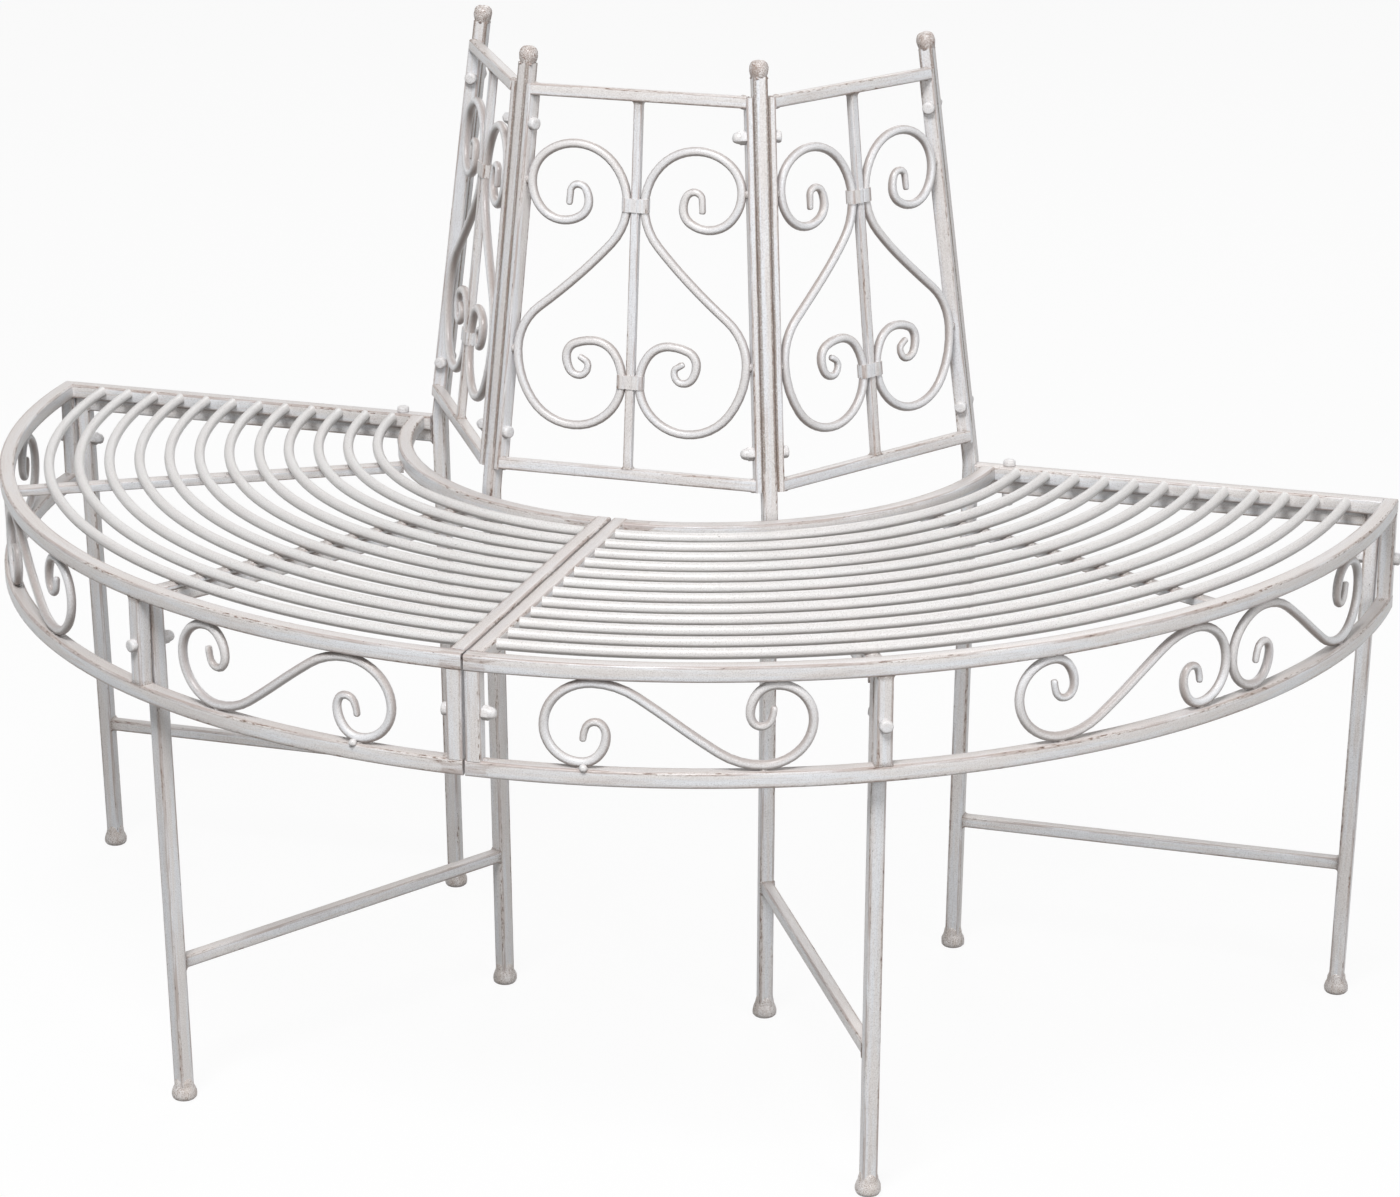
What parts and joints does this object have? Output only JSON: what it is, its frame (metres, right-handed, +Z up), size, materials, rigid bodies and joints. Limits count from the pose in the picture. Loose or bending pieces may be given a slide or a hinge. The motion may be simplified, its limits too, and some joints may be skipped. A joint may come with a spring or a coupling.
{
  "type": "tree bench",
  "caption": "Half-round metal bench that wraps a tree: curved rod seat with a scroll fascia, and a leaning back of scroll panels in a half hexagon, on ball-footed legs.",
  "frame": {"origin": "on the ground, at the centre of the bench's bounding box seen from above", "axes": "+Z up; the seat's round front faces -Y and the tree stands on the open +Y side; +X is the sitter-facing viewer's right"},
  "size_m": [1.21, 0.607, 0.808],
  "materials": {
    "paint": "weathered satin paint, worn at the edges",
    "rusted_paint": "paint worn through to rust",
    "bolt_paint": "painted over, slightly rusted"
  },
  "bodies": {
    "root": {"back_left_bottom_rail": "paint", "back_left_centre_bar": "paint", "back_left_collars": "paint", "back_left_left_scroll": "paint", "back_left_left_stile": "paint", "back_left_right_scroll": "paint", "back_left_right_stile": "paint", "back_left_top_rail": "paint", "back_middle_bottom_rail": "paint", "back_middle_centre_bar": "paint", "back_middle_collars": "paint", "back_middle_left_scroll": "paint", "back_middle_left_stile": "paint", "back_middle_right_scroll": "paint", "back_middle_right_stile": "paint", "back_middle_top_rail": "paint", "back_right_bottom_rail": "paint", "back_right_centre_bar": "paint", "back_right_collars": "paint", "back_right_left_scroll": "paint", "back_right_left_stile": "paint", "back_right_right_scroll": "paint", "back_right_right_stile": "paint", "back_right_top_rail": "paint", "fascia_bolts": "bolt_paint", "feet": "rusted_paint", "finials": "rusted_paint", "leg_1": "paint", "leg_2": "paint", "leg_3": "paint", "leg_4": "paint", "panel_bolts": "bolt_paint", "post_1": "paint", "post_2": "paint", "post_3": "paint", "post_4": "paint", "seam_bolt": "bolt_paint", "seat_bolts": "bolt_paint", "seat_left_bearers": "paint", "seat_left_end_rail": "paint", "seat_left_fascia_scrolls": "paint", "seat_left_fascia_uprights": "paint", "seat_left_inner_rim": "paint", "seat_left_lower_rim": "paint", "seat_left_outer_rim": "paint", "seat_left_seam_rail": "paint", "seat_left_slats": "paint", "seat_right_bearers": "paint", "seat_right_end_rail": "paint", "seat_right_fascia_scrolls": "paint", "seat_right_fascia_uprights": "paint", "seat_right_inner_rim": "paint", "seat_right_lower_rim": "paint", "seat_right_outer_rim": "paint", "seat_right_seam_rail": "paint", "seat_right_slats": "paint", "stretchers": "paint", "top_bearers": "paint"}
  },
  "joints": []
}
